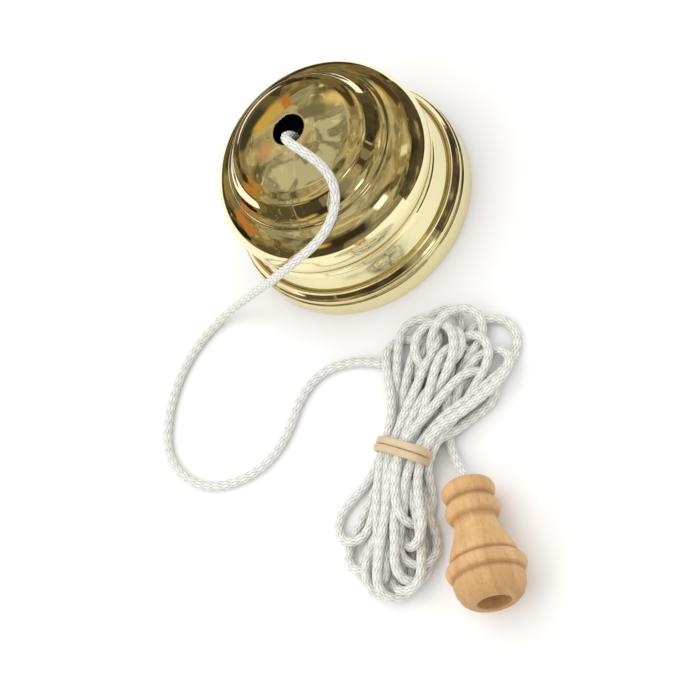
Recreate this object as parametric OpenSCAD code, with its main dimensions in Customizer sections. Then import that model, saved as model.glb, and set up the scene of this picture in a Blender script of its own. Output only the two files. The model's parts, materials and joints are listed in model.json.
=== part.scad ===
// Ceiling pull-cord light switch: stepped brass dome on a moulded ring, a snap-action
// switch inside, and a plaited cord that ends in a turned wooden pull.
// It is modelled as it lies on a table: the ceiling face is down, at z = 0, and the
// cord leaves through the hole in the top of the dome.

/* [Dome and base ring] */
// Outside diameter of the base ring at the ceiling face
base_d = 90; // [88:0.5:92]
// Height of the dome from the ceiling face to the rim of the cord hole
dome_h = 58; // [57.5:0.1:58.5]
// Widest radius of the dome's rounded shoulder
shoulder_r = 39.9; // [39.6:0.1:40.2]
// Thickness of the spun brass sheet
sheet_t = 0.9; // [0.7:0.1:1]
// Radius of the cord hole in the dome
cord_hole_r = 6; // [5.8:0.1:6.2]
// Height of the cover's side screws above the ceiling face
side_screw_z = 16; // [15:0.5:17]
// Direction of the first side screw, in degrees
side_screw_az = 34; // [30:1:38]

/* [Ceiling fixing] */
// Distance between the two fixing slots
fixing_pitch = 50.8; // [50.8:0.1:51.2]
// Width of each fixing slot
slot_w = 4.5; // [4:0.1:5]
// Length of each fixing slot, end to end
slot_len = 9; // [8:0.5:9]
// Thickness of the back plate
plate_t = 3.5; // [3.5:0.1:3.8]
// Radius of the cable entry
cable_entry_r = 6; // [5:0.5:6]

/* [Cord and pull] */
// Diameter of the plaited cord
cord_d = 3.2; // [3:0.1:3.4]
// Length of the wooden pull
pull_len = 41.5; // [41.3:0.1:42]
// Radius of the wooden pull's large bead
pull_bead_r = 12.9; // [12.8:0.1:12.9]

/* [Switch] */
// Travel of the cord plunger
pull_travel = 7; // [5:0.5:7]
// Drop of the contact bridge in one pull
bridge_travel = 1.3; // [1.1:0.1:1.3]
// Radius of the ratchet wheel
ratchet_r = 5.7; // [5.5:0.1:5.7]
// Teeth on the ratchet wheel
ratchet_teeth = 8; // [8:1:8]

/* [Hidden] */
$fn = 64;
hull_fn = 32;
eps = 0.01;
running_gap = 0.05;
easy_gap = 0.1;

brass = [0.87, 0.70, 0.36];
dull_brass = [0.74, 0.60, 0.32];
phenolic = [0.10, 0.09, 0.09];
steel = [0.66, 0.67, 0.69];
white_nylon = [0.90, 0.90, 0.87];
tan_rubber = [0.83, 0.69, 0.47];
beech = [0.83, 0.63, 0.42];

base_r = base_d / 2;
cord_r = cord_d / 2;

// Shoulder: an arc of this radius rolls over from the widest point to the top step
shoulder_arc = 14;
shoulder_z = 30;
// Wall: a slight cone between the tuck under the shoulder and the ring
wall_top = [39.2, 22.5];
wall_foot = [40.8, 13];
wall_end_z = 6;
// Steps near the top of the dome, as radius and height
step_foot = [29.8, 44.2];
step_edge = [25.2, 51];
step_edge_arc = 1.1;
cap_foot = [21, 53.3];

// Base ring
skirt_top_z = 7.6;
skirt_top_r = base_r - 0.3;
bead_r = 1.3;
bead_z = 9.4;
bead_centre_r = 42.9;
ring_top = [41.9, 13.1];
ring_bore_r = wall_foot[0] + easy_gap;

// Back plate and its lugs
plate_r = base_r - 1.6;
cable_entry_y = -28;
lug_w = 8;
lug_depth = 5;
lug_face_r = 37.9;
lug_h = 20.5;
side_screw_r = 1.5;
side_screw_len = 6.2;
side_screw_face_r = 40.3;
spring_seat_r = 2.6;
spring_seat_z = 8;

// Switch body: a box that is open towards the back plate
body_w = 40;
body_depth = 26;
body_top_z = 33.5;
body_wall = 2;
guide_r = 3.5;
spring_pocket_r = 6.4;
ledge_y = -20.4;
ledge_t = 2;

// Guide cap on top of the body
cap_flange_t = 2.5;
cap_flange_w = 38;
cap_flange_depth = 20;
cap_boss_r = 8.6;
cap_boss_top_r = 6.2;
cap_top_z = 47;
cap_roof_z = 43;
cap_screw_x = 15.5;
cap_screw_r = 1.25;
cap_screw_head_r = 2.4;
cap_screw_head_h = 1.6;
cap_screw_len = 4.2;

// Plunger
plunger_w = 9;
plunger_depth = 8;
plunger_low_z = 17;
plunger_high_z = 27;
stem_top_z = 45;
stem_bore_r = cord_r + 0.25;
knot_r = 3;
knot_pocket_r = 3.3;
knot_z = 20;
cord_inner_top_z = 50;
spring_coil_r = 4.9;
spring_wire_r = 0.45;
spring_turns = 7;

// Ratchet, cam and contacts
ratchet_x = 11.5;
ratchet_z = 21;
ratchet_y = [1.5, 4.5];
cam_y = [-5, 1.2];
cam_half = 3.1;
axle_r = 1.5;
axle_half_len = 12.8;
hub_r = axle_r + running_gap;
bridge_top_z = 17.4;
bridge_t = 1.5;
bridge_y = [-5, 0.2];
bridge_len = 11.6;
tip_x = [7.5, 15.5];
tip_y = -2.4;
tip_r = 1.2;
tip_t = 0.8;
contact_top_z = 13.5;
contact_w = 2.4;
strap_z = 5.6;
strap_t = 1.4;

// Terminals
terminal_size = [6, 5.6, 8];
terminal_y = -16.8;
terminal_live_x = 5.8;
terminal_switched_x = 14.8;
terminal_loop_x = -6.4;
terminal_wire_r = 1.6;
terminal_screw_r = 1.4;
terminal_screw_head_r = 2.2;
earth_pos = [-17, -26];
earth_size = [7, 7, 7];

// Cord: the free stretch from inside the hole, over the dome and along the table
cord_sides = 8;
cord_reference = [0, 0.6, 0.8];
cord_route = [
    [0, 0, 50.1], [0, 0, 52.6], [-0.3, -1.2, 55.6], [-0.8, -2.7, 58.4], [-0.8, -4.8, 60.8],
    [0.4, -7.5, 61.9], [2.7, -10.6, 61.6], [5.6, -14, 59.9], [8.1, -17.4, 57.6],
    [9.6, -21, 54.9], [9.6, -24.2, 52], [8.2, -27.4, 49.1], [4.5, -31.4, 46],
    [-0.8, -34.7, 43.4], [-6, -36.4, 41.6], [-11.5, -37, 39.4], [-18, -36.5, 35.4],
    [-25.2, -34.2, 28.8], [-32.4, -31.3, 21.6], [-40, -28.6, 14.8], [-48, -26.8, 9],
    [-56, -26.2, 4.6], [-63.6, -27.8, 2.2], [-72, -32.6, 1.7], [-79.5, -39.4, 1.7],
    [-86, -48.6, 1.7], [-90.4, -59, 1.7], [-92.2, -69, 1.7], [-90, -78, 1.7],
    [-83, -86.4, 1.7], [-73, -90.6, 1.7], [-62, -90.6, 1.7], [-52, -87, 1.7],
    [-43.6, -79.4, 1.7], [-36.4, -69, 1.7], [-27.6, -62.8, 1.7], [-16.5, -62.2, 1.7],
    [-5, -66.5, 2.4], [0.5, -70.5, 4]
];
// Cord between the hank and the knot inside the pull
tail_route = [[6, -99, 5], [9.8, -103.8, 5.2], [13.2, -110.8, 6.5], [16, -117, 7.7]];

// Hank: loops gathered at the waist by the band
hank_h = 13;
hank_low_h = 11.5;
waist_pos = [-1.5, -103];
waist_az = 53;
waist_half_w = 9;
waist_half_h = 5.6;
waist_z = 7.2;
waist_len = 16;
hank_upper = [[5, -93, 8], [9.5, -66, 11], [23, -65.5, 12], [34, -78.5, 12], [27, -90, 11]];
hank_lower = [[-8, -113, 8], [-23.5, -122, 10], [-17, -142, 9], [-7.5, -140, 8.5]];

// Rubber band: two wraps side by side round the waist
band_wrap_w = 2;
band_gap = 0.2;
band_t = 0.9;

// Wooden pull: its axis rises a little, because it lies on its small and large beads
pull_tilt = 8.6;
pull_turn = 2;
pull_pos = [17.1, -120.6, 8.3];
pull_bore_r = 2.1;
pull_pocket_r = 5.3;
pull_pocket_s = 32;
pull_knot_r = 3.7;

// ---------------------------------------------------------------- outline helpers

// Points of an arc about a centre, from one angle to another
function arc(c, r, from, to, n) =
    [for (i = [0:n]) let (a = from + (to - from) * i / n) c + r * [cos(a), sin(a)]];

// Unit vector
function unit(v) = v / norm(v);

// A polyline moved sideways by t, to the right of its direction
function shifted(pts, t) = let (last = len(pts) - 1)
    [for (i = [0:last]) let (
        before = pts[max(i - 1, 0)],
        after = pts[min(i + 1, last)],
        d = unit(after - before)
    ) pts[i] + t * [d[1], -d[0]]];

function reversed(pts) = [for (i = [len(pts) - 1:-1:0]) pts[i]];

// Turned sheet metal: an outer outline given from the bottom up, and the same inside it
module sheet_turned(outline, t) {
    rotate_extrude()
        polygon(concat(outline, reversed(shifted(outline, -t))));
}

// Tube swept along points, flat at both ends
module swept_tube(pts, r, sides, reference) {
    last = len(pts) - 1;
    rings = [for (i = [0:last]) let (
        d = unit(pts[min(i + 1, last)] - pts[max(i - 1, 0)]),
        u = unit(cross(reference, d)),
        v = cross(d, u)
    ) for (k = [0:sides - 1]) pts[i] + r * (cos(360 * k / sides) * u + sin(360 * k / sides) * v)];
    walls = [for (i = [0:last - 1], k = [0:sides - 1]) let (
        a = i * sides + k,
        b = i * sides + (k + 1) % sides
    ) [a, a + sides, b + sides, b]];
    ends = [
        [for (k = [0:sides - 1]) k],
        [for (k = [sides - 1:-1:0]) last * sides + k]
    ];
    polyhedron(points = rings, faces = concat(walls, ends), convexity = 8);
}

// Box between two corners
module box(low, high) {
    translate(low)
        cube(high - low);
}

// Plain cylinder along Y between two values of y, round a point given as x and z
module y_cylinder(xz, r, y) {
    translate([xz[0], y[1], xz[1]])
        rotate([90, 0, 0])
            cylinder(h = y[1] - y[0], r = r);
}

// What repeats at both side screws, drawn pointing along +X
module at_side_screws() {
    for (az = [side_screw_az, side_screw_az + 180])
        rotate([0, 0, az])
            children();
}

// ---------------------------------------------------------------- dome and ring

// Outer outline of the dome, from the wall's lower end up to the cord hole
function dome_outline() = let (
    shoulder_c = [shoulder_r - shoulder_arc, shoulder_z],
    cap_rise = dome_h - cap_foot[1],
    cap_r = (cap_foot[0] * cap_foot[0] + cap_rise * cap_rise) / (2 * cap_rise),
    cap_c = [0, dome_h - cap_r]
) concat(
    [[wall_foot[0], wall_end_z], wall_foot, wall_top + [0.25, -2.5], wall_top],
    arc(shoulder_c, shoulder_arc, -26, 72, 16),
    [step_foot + [0.5, 0], step_foot + [-1.2, 0.7], step_foot + [-2.6, 2.4]],
    arc(step_edge - [step_edge_arc, step_edge_arc], step_edge_arc, 20, 80, 4),
    [cap_foot + [2.2, -1.8], cap_foot + [1, -0.8]],
    arc(cap_c, cap_r, acos(cap_foot[0] / cap_r), acos(cord_hole_r / cap_r), 8)
);

module dome_cover() {
    color(brass)
        difference() {
            sheet_turned(dome_outline(), sheet_t);
            at_side_screws()
                translate([side_screw_face_r - 4, 0, side_screw_z])
                    rotate([0, 90, 0])
                        cylinder(h = 8, r = side_screw_r + easy_gap);
        }
}

// Skirt, its rolled bead and the cove up to the wall
module base_ring() {
    outline = concat(
        [[base_r, 0], [base_r, 1], [skirt_top_r, skirt_top_z - 0.8]],
        arc([skirt_top_r - 0.8, skirt_top_z - 0.8], 0.8, 0, 90, 4),
        arc([bead_centre_r, bead_z], bead_r, -50, 70, 6),
        arc([ring_top[0] + 1.5, ring_top[1]], 1.5, 225, 180, 4)
    );
    color(brass)
        rotate_extrude()
            polygon(concat(
                outline,
                [[ring_bore_r, ring_top[1]], [ring_bore_r, bead_z - 0.4]],
                [[bead_centre_r - 0.6, bead_z - 2.2]],
                [[skirt_top_r - 1.7, skirt_top_z - 1.3], [base_r - sheet_t, 1], [base_r - sheet_t, 0]]
            ));
}

module cover_screws() {
    slot = 0.6;
    color(dull_brass)
        at_side_screws()
            translate([side_screw_face_r - side_screw_len, 0, side_screw_z])
                rotate([0, 90, 0])
                    difference() {
                        cylinder(h = side_screw_len, r = side_screw_r);
                        translate([-slot / 2, -2, side_screw_len - slot])
                            cube([slot, 4, 2 * slot]);
                    }
}

// Moulded plate that is screwed to the ceiling and carries everything else
module back_plate() {
    color(phenolic)
        difference() {
            union() {
                cylinder(h = plate_t, r = plate_r);
                at_side_screws()
                    box([lug_face_r - lug_depth, -lug_w / 2, plate_t - eps], [lug_face_r, lug_w / 2, lug_h]);
                translate([ratchet_x, tip_y, plate_t - eps])
                    cylinder(h = spring_seat_z - plate_t + eps, r = spring_seat_r);
            }
            for (side = [-1, 1])
                fixing_slot(side * fixing_pitch / 2);
            translate([0, cable_entry_y, -eps])
                cylinder(h = plate_t + 2 * eps, r = cable_entry_r);
            at_side_screws()
                translate([lug_face_r - lug_depth - eps, 0, side_screw_z])
                    rotate([0, 90, 0])
                        cylinder(h = lug_depth + 2 * eps, r = side_screw_r + running_gap);
        }
}

module fixing_slot(x) {
    reach = (slot_len - slot_w) / 2;
    for (end = [-1, 1])
        translate([x + end * reach, 0, -eps])
            cylinder(h = plate_t + 2 * eps, r = slot_w / 2);
    box([x - reach, -slot_w / 2, -eps], [x + reach, slot_w / 2, plate_t + eps]);
}

// ---------------------------------------------------------------- switch

module switch_body() {
    half = [body_w / 2, body_depth / 2];
    color(phenolic)
        difference() {
            union() {
                box([-half[0], -half[1], plate_t], [half[0], half[1], body_top_z]);
                box([-half[0], ledge_y, plate_t], [half[0], -half[1] + eps, plate_t + ledge_t]);
                for (x = [-12, 0, 10.6])
                    box([x - 0.6, ledge_y, plate_t], [x + 0.6, -half[1] + eps, plate_t + 9]);
            }
            box([-half[0] + body_wall, -half[1] + body_wall, plate_t - eps],
                [half[0] - body_wall, half[1] - body_wall, body_top_z - body_wall]);
            translate([0, 0, body_top_z - 2 * body_wall])
                cylinder(h = 3 * body_wall, r = spring_pocket_r);
            y_cylinder([ratchet_x, ratchet_z], axle_r + running_gap, [-half[1] - 1, half[1] + 1]);
            for (x = tip_x)
                box([x - contact_w / 2 - 0.2, -half[1] - 1, strap_z - 0.2],
                    [x + contact_w / 2 + 0.2, -half[1] + body_wall + 1, strap_z + strap_t + 0.2]);
            for (side = [-1, 1])
                translate([side * cap_screw_x, 0, body_top_z - body_wall - 1])
                    cylinder(h = body_wall + 2, r = cap_screw_r + running_gap);
        }
}

// Cap with the spring pocket and the bore that guides the plunger's stem
module cord_guide_cap() {
    flange_top_z = body_top_z + cap_flange_t;
    color(phenolic)
        difference() {
            union() {
                box([-cap_flange_w / 2, -cap_flange_depth / 2, body_top_z],
                    [cap_flange_w / 2, cap_flange_depth / 2, flange_top_z]);
                translate([0, 0, body_top_z])
                    cylinder(h = cap_roof_z - body_top_z, r = cap_boss_r);
                translate([0, 0, cap_roof_z - eps])
                    cylinder(h = cap_top_z - cap_roof_z, r1 = cap_boss_r, r2 = cap_boss_top_r);
            }
            translate([0, 0, body_top_z - eps])
                cylinder(h = cap_roof_z - body_top_z + eps, r = spring_pocket_r);
            cylinder(h = cap_top_z + 1, r = guide_r + running_gap);
            for (side = [-1, 1])
                translate([side * cap_screw_x, 0, body_top_z - 1])
                    cylinder(h = cap_flange_t + 2, r = cap_screw_r + easy_gap);
        }
}

module cap_screws() {
    slot = 0.7;
    color(steel)
        for (side = [-1, 1])
            translate([side * cap_screw_x, 0, body_top_z + cap_flange_t])
                difference() {
                    union() {
                        cylinder(h = cap_screw_head_h, r = cap_screw_head_r);
                        translate([0, 0, -cap_screw_len])
                            cylinder(h = cap_screw_len + eps, r = cap_screw_r);
                    }
                    box([-slot / 2, -3, cap_screw_head_h - slot], [slot / 2, 3, cap_screw_head_h + 1]);
                }
}

// Slider that the cord pulls: a block with the knot's pocket and a hollow stem
module plunger() {
    color(phenolic)
        difference() {
            union() {
                box([-plunger_w / 2, -plunger_depth / 2, plunger_low_z],
                    [plunger_w / 2, plunger_depth / 2, plunger_high_z]);
                translate([0, 0, plunger_high_z - eps])
                    cylinder(h = stem_top_z - plunger_high_z, r = guide_r);
            }
            translate([0, 0, plunger_low_z - 1])
                cylinder(h = knot_z + knot_r - plunger_low_z + 1.1, r = knot_pocket_r);
            cylinder(h = stem_top_z + 1, r = stem_bore_r);
        }
}

// Sprung leaf on the plunger's side that drives the ratchet wheel
module drive_pawl() {
    leaf_y = [2, 4];
    leaf_t = 0.8;
    color(dull_brass)
        box([plunger_w / 2, leaf_y[0], plunger_low_z - 2],
            [plunger_w / 2 + leaf_t, leaf_y[1], plunger_high_z - 3]);
}

// Coil spring along Z at a point in plan, with flattened first and last turns
module coil_spring(at, z, coil_r, wire_r, turns) {
    steps = 16;
    count = turns * steps;
    low = z[0] + wire_r;
    high = z[1] - wire_r;
    end_rise = 2.3 * wire_r;
    pitch = (high - low - 2 * end_rise) / (turns - 2);
    swept_tube(
        [for (i = [0:count]) let (
            first = min(i, steps) * end_rise / steps,
            open = min(max(i - steps, 0), count - 2 * steps) * pitch / steps,
            last = max(i - count + steps, 0) * end_rise / steps
        ) [at[0] + coil_r * cos(360 * i / steps), at[1] + coil_r * sin(360 * i / steps), low + first + open + last]],
        wire_r, 6, [0, 0, 1]
    );
}

module return_spring() {
    color(steel)
        coil_spring([0, 0], [plunger_high_z + easy_gap, cap_roof_z - easy_gap], spring_coil_r, spring_wire_r, spring_turns);
}

module cord_knot() {
    color(white_nylon)
        translate([0, 0, knot_z])
            sphere(r = knot_r);
}

// Cord inside the plunger's stem, up to the free cord in the dome's hole
module cord_inner() {
    low = knot_z + knot_r - 0.4;
    color(white_nylon)
        translate([0, 0, low])
            cylinder(h = cord_inner_top_z - low, r = cord_r);
}

module ratchet_wheel() {
    tooth = 360 / ratchet_teeth;
    root_r = ratchet_r - 1.1;
    teeth = [for (i = [0:ratchet_teeth - 1], p = [[0, ratchet_r], [tooth * 0.85, root_r]])
        p[1] * [cos(i * tooth + p[0]), sin(i * tooth + p[0])]];
    color(dull_brass)
        translate([ratchet_x, ratchet_y[1], ratchet_z])
            rotate([90, 0, 0])
                difference() {
                    linear_extrude(height = ratchet_y[1] - ratchet_y[0])
                        polygon(teeth);
                    translate([0, 0, -1])
                        cylinder(h = 5, r = hub_r);
                }
}

// Square cam with clipped corners, in line with the ratchet wheel
module switch_cam() {
    clipped = 4.1;
    color(white_nylon)
        difference() {
            intersection() {
                box([ratchet_x - cam_half, cam_y[0], ratchet_z - cam_half],
                    [ratchet_x + cam_half, cam_y[1], ratchet_z + cam_half]);
                y_cylinder([ratchet_x, ratchet_z], clipped, [cam_y[0] - 1, cam_y[1] + 1]);
            }
            y_cylinder([ratchet_x, ratchet_z], hub_r, [cam_y[0] - 1, cam_y[1] + 1]);
        }
}

module ratchet_axle() {
    color(steel)
        y_cylinder([ratchet_x, ratchet_z], axle_r, [-axle_half_len, axle_half_len]);
}

// Bar that joins the two fixed contacts when the cam presses it down
module contact_bridge() {
    color(dull_brass)
        box([ratchet_x - bridge_len / 2, bridge_y[0], bridge_top_z - bridge_t],
            [ratchet_x + bridge_len / 2, bridge_y[1], bridge_top_z]);
}

module bridge_contact_tips() {
    color(steel)
        for (x = tip_x)
            translate([x, tip_y, bridge_top_z - bridge_t - tip_t])
                cylinder(h = tip_t, r = tip_r);
}

module bridge_spring() {
    color(steel)
        coil_spring([ratchet_x, tip_y], [spring_seat_z + easy_gap, bridge_top_z - bridge_t - easy_gap], 1.7, 0.25, 5);
}

// Post with a strap that runs out through the body's wall to its terminal
module fixed_contact(x) {
    color(dull_brass) {
        box([x - contact_w / 2, tip_y - 1.6, strap_z], [x + contact_w / 2, tip_y + 1.6, contact_top_z - tip_t]);
        box([x - contact_w / 2, terminal_y + terminal_size[1] / 2 + easy_gap, strap_z],
            [x + contact_w / 2, tip_y, strap_z + strap_t]);
    }
}

module fixed_contact_live() {
    fixed_contact(tip_x[0]);
}

module fixed_contact_switched() {
    fixed_contact(tip_x[1]);
}

module fixed_contact_tips() {
    color(steel)
        for (x = tip_x)
            translate([x, tip_y, contact_top_z - tip_t])
                cylinder(h = tip_t - 0.1, r = tip_r);
}

// Brass block with a wire hole from the side and a clamping screw from above
module terminal(x) {
    half = terminal_size / 2;
    low_z = plate_t + ledge_t;
    color(dull_brass)
        difference() {
            box([x - half[0], terminal_y - half[1], low_z],
                [x + half[0], terminal_y + half[1], low_z + terminal_size[2]]);
            y_cylinder([x, low_z + 3], terminal_wire_r, [terminal_y - half[1] - 1, terminal_y + half[1] - 1.2]);
            translate([x, terminal_y, low_z + 3])
                cylinder(h = terminal_size[2], r = terminal_screw_r + running_gap);
        }
}

module terminal_live() {
    terminal(terminal_live_x);
}

module terminal_switched() {
    terminal(terminal_switched_x);
}

module terminal_loop() {
    terminal(terminal_loop_x);
}

// Slotted screw with its head down to a given height
module slotted_screw(pos, head_z, r, head_r, length) {
    head_h = 1.4;
    slot = 0.6;
    translate([pos[0], pos[1], head_z])
        difference() {
            union() {
                cylinder(h = head_h, r = head_r);
                translate([0, 0, -length])
                    cylinder(h = length + eps, r = r);
            }
            box([-slot / 2, -head_r - 1, head_h - slot], [slot / 2, head_r + 1, head_h + 1]);
        }
}

module terminal_screws() {
    top_z = plate_t + ledge_t + terminal_size[2];
    color(steel)
        for (x = [terminal_live_x, terminal_switched_x, terminal_loop_x])
            slotted_screw([x, terminal_y], top_z, terminal_screw_r, terminal_screw_head_r, 3);
}

module earth_terminal() {
    half = earth_size / 2;
    color(dull_brass)
        difference() {
            box([earth_pos[0] - half[0], earth_pos[1] - half[1], plate_t],
                [earth_pos[0] + half[0], earth_pos[1] + half[1], plate_t + earth_size[2]]);
            y_cylinder([earth_pos[0], plate_t + 2.6], terminal_wire_r, [earth_pos[1] - 5, earth_pos[1] + 5]);
            translate([earth_pos[0], earth_pos[1], plate_t + 2.6])
                cylinder(h = earth_size[2], r = terminal_screw_r + running_gap);
        }
}

module earth_screw() {
    color(steel)
        slotted_screw(earth_pos, plate_t + earth_size[2], terminal_screw_r, terminal_screw_head_r, 3);
}

// ---------------------------------------------------------------- cord, band and pull

module cord_run() {
    color(white_nylon)
        swept_tube(cord_route, cord_r, cord_sides, cord_reference);
}

// A point on the pull's axis, at a distance from its small end
function on_pull(s) = pull_pos
    + s * [cos(pull_tilt) * sin(pull_turn), -cos(pull_tilt) * cos(pull_turn), sin(pull_tilt)];

module cord_tail() {
    color(white_nylon)
        swept_tube(
            concat(tail_route, [on_pull(0), on_pull(5), on_pull(15), on_pull(25), on_pull(pull_pocket_s + 1)]),
            cord_r, cord_sides, [0, 0, 1]
        );
}

// Rounded bar along the hank at its waist, at a given distance from the cord
module waist_bar(grow, length) {
    half_w = waist_half_w + grow;
    half_h = waist_half_h + grow;
    translate([waist_pos[0], waist_pos[1], waist_z])
        rotate([0, 0, waist_az])
            rotate([0, 90, 0])
                translate([0, 0, -length / 2])
                    linear_extrude(height = length)
                        union() {
                            square([2 * half_h, 2 * (half_w - half_h)], center = true);
                            for (side = [-1, 1])
                                translate([0, side * (half_w - half_h)])
                                    circle(r = half_h);
                        }
}

module lobe(discs, h) {
    hull()
        for (d = discs)
            translate([d[0], d[1], 0])
                cylinder(h = h, r = d[2], $fn = hull_fn);
}

module cord_hank() {
    color(white_nylon)
        union() {
            lobe(hank_upper, hank_h);
            lobe(hank_lower, hank_low_h);
            waist_bar(0, waist_len);
        }
}

module rubber_band() {
    width = 2 * band_wrap_w + band_gap;
    color(tan_rubber)
        difference() {
            waist_bar(band_t, width);
            waist_bar(0, width + 1);
        }
}

// Outline of the pull as radius and distance from the small end
function pull_outline() = concat(
    [[0, 0], [5.6, 0]],
    arc([5.6, 3.2], 3.2, -90, 52, 7),
    arc([5.6, 10.1], 3.4, -52, 50, 6),
    [[7.2, 13.6], [7, 15], [7.4, 16.8], [8.3, 19.4], [9.7, 22.4], [10.8, 25.4], [11, 27.2]],
    arc([pull_bead_r - 2.5, 30.2], 2.5, -75, 75, 7),
    [[11.4, 33.1], [11.5, 34.6], [11, 37.2], [9.8, 39.6], [8, pull_len - 0.4], [7.2, pull_len], [0, pull_len]]
);

module wooden_pull() {
    color(beech)
        translate(pull_pos)
            rotate([90 - pull_tilt, 0, pull_turn])
                difference() {
                    rotate_extrude()
                        polygon(pull_outline());
                    translate([0, 0, -1])
                        cylinder(h = pull_len, r = pull_bore_r);
                    translate([0, 0, pull_pocket_s])
                        cylinder(h = pull_len, r = pull_pocket_r);
                }
}

module pull_knot() {
    color(white_nylon)
        translate(on_pull(pull_pocket_s + pull_knot_r + easy_gap))
            sphere(r = pull_knot_r);
}

// ---------------------------------------------------------------- nodes

dome_cover();
base_ring();
back_plate();
cover_screws();
switch_body();
cord_guide_cap();
cap_screws();
plunger();
drive_pawl();
return_spring();
cord_knot();
cord_inner();
ratchet_wheel();
switch_cam();
ratchet_axle();
contact_bridge();
bridge_contact_tips();
bridge_spring();
fixed_contact_live();
fixed_contact_switched();
fixed_contact_tips();
terminal_live();
terminal_switched();
terminal_loop();
terminal_screws();
earth_terminal();
earth_screw();
cord_run();
cord_hank();
cord_tail();
rubber_band();
wooden_pull();
pull_knot();
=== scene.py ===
"""Looks for the ceiling pull-cord switch.

Spun brass dome and ring, plaited cord with its tied hank, rubber band and turned wooden pull.
"""
import json
import math

import bpy
import numpy as np
from mathutils import Euler, Matrix, Vector


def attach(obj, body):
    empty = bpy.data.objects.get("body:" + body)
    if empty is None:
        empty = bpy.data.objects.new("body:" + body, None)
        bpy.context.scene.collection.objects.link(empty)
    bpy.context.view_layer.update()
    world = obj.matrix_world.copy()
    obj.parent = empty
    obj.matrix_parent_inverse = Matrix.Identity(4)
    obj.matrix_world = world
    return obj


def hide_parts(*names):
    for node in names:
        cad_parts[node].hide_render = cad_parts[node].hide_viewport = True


MM = 0.001
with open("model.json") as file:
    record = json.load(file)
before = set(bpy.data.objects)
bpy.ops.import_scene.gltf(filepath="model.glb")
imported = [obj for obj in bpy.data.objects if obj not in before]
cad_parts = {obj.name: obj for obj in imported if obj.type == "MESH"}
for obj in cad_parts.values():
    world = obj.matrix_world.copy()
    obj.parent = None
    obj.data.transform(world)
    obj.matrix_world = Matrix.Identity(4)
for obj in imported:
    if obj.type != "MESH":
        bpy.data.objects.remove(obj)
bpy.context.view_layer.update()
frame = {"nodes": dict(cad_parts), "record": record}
scene = bpy.context.scene
scene.view_settings.view_transform = "Standard"

# ---------------------------------------------------------------- camera
camera_data = bpy.data.cameras.new("camera")
camera_data.lens = 67.38
camera_data.sensor_width = 36
camera = bpy.data.objects.new("camera", camera_data)
scene.collection.objects.link(camera)
camera.location = (0.121, -0.2492, 0.3923)
camera.rotation_euler = Euler([math.radians(a) for a in (20.868, 24.15, -11.908)], "XYZ")
camera_data.clip_start = 0.01
scene.camera = camera


# ---------------------------------------------------------------- mesh helpers
def unit(v):
    return v / max(np.linalg.norm(v), 1e-12)


def mesh_object(name, points, faces, smooth=True, uvs=None):
    """A new mesh from points in metres, linked to the scene. uvs holds one pair per face corner."""
    mesh = bpy.data.meshes.new(name)
    mesh.from_pydata(np.asarray(points).tolist(), [], faces)
    if uvs is not None:
        layer = mesh.uv_layers.new(name="UVMap")
        layer.data.foreach_set("uv", np.asarray(uvs, np.float32).ravel())
    mesh.polygons.foreach_set("use_smooth", [smooth] * len(mesh.polygons))
    mesh.update()
    obj = bpy.data.objects.new(name, mesh)
    scene.collection.objects.link(obj)
    return obj


def resampled(points, step):
    """The polyline's points moved to an even spacing."""
    points = np.asarray(points, float)
    along = np.concatenate([[0], np.cumsum(np.linalg.norm(np.diff(points, axis=0), axis=1))])
    at = np.linspace(0, along[-1], max(2, int(math.ceil(along[-1] / step)) + 1))
    return np.stack([np.interp(at, along, points[:, k]) for k in range(points.shape[1])], 1)


def softened(points, rounds, closed=False):
    """The polyline with its corners eased. An open line keeps its two ends."""
    points = np.array(points, float)
    for _ in range(rounds):
        if closed:
            points = 0.5 * points + 0.25 * (np.roll(points, 1, 0) + np.roll(points, -1, 0))
        else:
            points[1:-1] = 0.5 * points[1:-1] + 0.25 * (points[:-2] + points[2:])
    return points


def arc(centre, radius, start, stop, count):
    angles = np.radians(np.linspace(start, stop, count + 1))
    return [(centre[0] + radius * math.cos(a), centre[1] + radius * math.sin(a)) for a in angles]


def lathe(name, outline, segments):
    """Turned solid round Z from a closed outline of radius and height, in mm."""
    outline = np.asarray(outline, float)
    count = len(outline)
    turn = np.linspace(0, 2 * math.pi, segments, endpoint=False)
    r, z = outline[:, 0][None, :], outline[:, 1][None, :]
    points = np.stack([r * np.cos(turn)[:, None], r * np.sin(turn)[:, None], z + 0 * turn[:, None]], 2).reshape(-1, 3)
    faces = []
    for i in range(segments):
        a, b = i * count, (i + 1) % segments * count
        for k in range(count):
            n = (k + 1) % count
            faces.append((a + k, b + k, b + n, a + n))
    return mesh_object(name, points * MM, faces)


def catmull(points, step):
    """A smooth curve through the points, evenly spaced."""
    points = np.asarray(points, float)
    ends = np.concatenate([[2 * points[0] - points[1]], points, [2 * points[-1] - points[-2]]])
    out = []
    for i in range(1, len(ends) - 2):
        p0, p1, p2, p3 = ends[i - 1:i + 3]
        d1, d2, d3 = (np.linalg.norm(b - a) ** 0.5 + 1e-9 for a, b in ((p0, p1), (p1, p2), (p2, p3)))
        m1 = (p2 - p1) + d2 * ((p1 - p0) / d1 - (p2 - p0) / (d1 + d2))
        m2 = (p2 - p1) + d2 * ((p3 - p2) / d3 - (p3 - p1) / (d2 + d3))
        t = np.linspace(0, 1, 12, endpoint=False)[:, None]
        out.append((2 * t**3 - 3 * t**2 + 1) * p1 + (t**3 - 2 * t**2 + t) * m1
                   + (3 * t**2 - 2 * t**3) * p2 + (t**3 - t**2) * m2)
    return resampled(np.concatenate(out + [points[-1:]]), step)


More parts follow.
